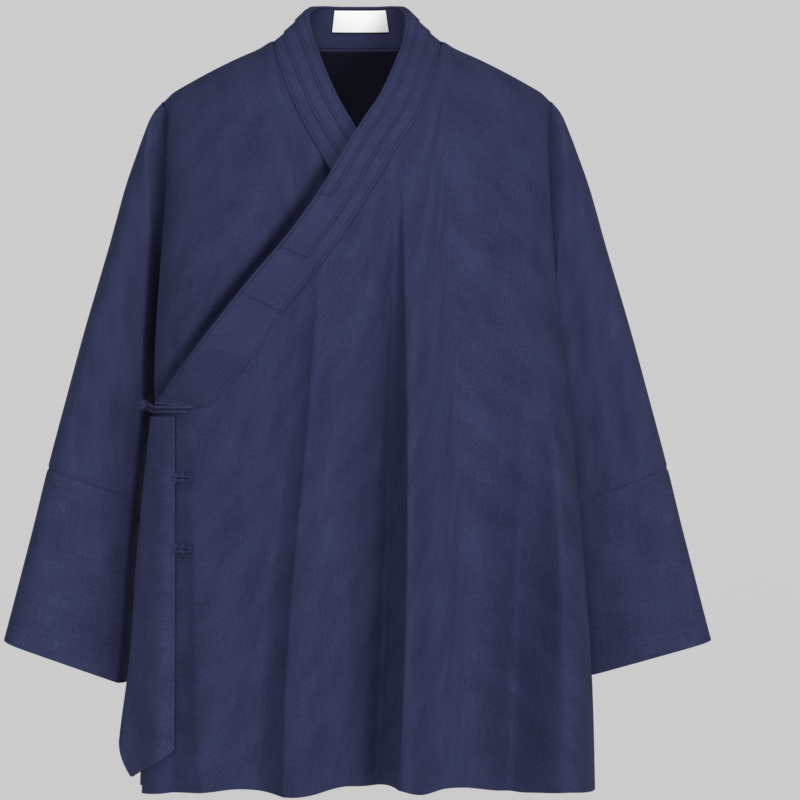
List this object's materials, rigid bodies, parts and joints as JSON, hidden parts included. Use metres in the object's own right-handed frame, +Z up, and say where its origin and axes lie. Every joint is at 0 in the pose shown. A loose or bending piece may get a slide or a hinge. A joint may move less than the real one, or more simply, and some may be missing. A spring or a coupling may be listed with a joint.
{
  "type": "kung fu jacket",
  "caption": "Hip-length martial arts jacket with a crossed, stepped collar, side closing with a frog and ball button, and straight wide sleeves.",
  "frame": {"origin": "middle of the shoulder line at the base of the neck, where the wearer holds the jacket", "axes": "+Z up, -Y to the wearer's front, +X to the wearer's left"},
  "size_m": [0.7512, 0.2739, 0.8315],
  "materials": {
    "cloth": "matte plain weave",
    "collar": "matte plain weave, doubled and stitched",
    "frog": "rolled cloth cord",
    "label": "woven satin tape"
  },
  "bodies": {
    "root": {"outer_front": "cloth", "inner_front": "cloth", "back": "cloth", "sleeve_upper_left": "cloth", "sleeve_upper_right": "cloth", "sleeve_lower_left": "cloth", "sleeve_lower_right": "cloth", "collar_band": "collar", "collar_tier_wide": "collar", "collar_tier_middle": "collar", "collar_tier_narrow": "collar", "side_flap": "cloth", "neck_label": "label", "frog_button": "frog", "frog_loop": "frog", "frog_tail_upper": "frog", "frog_tail_lower": "frog"}
  },
  "joints": []
}
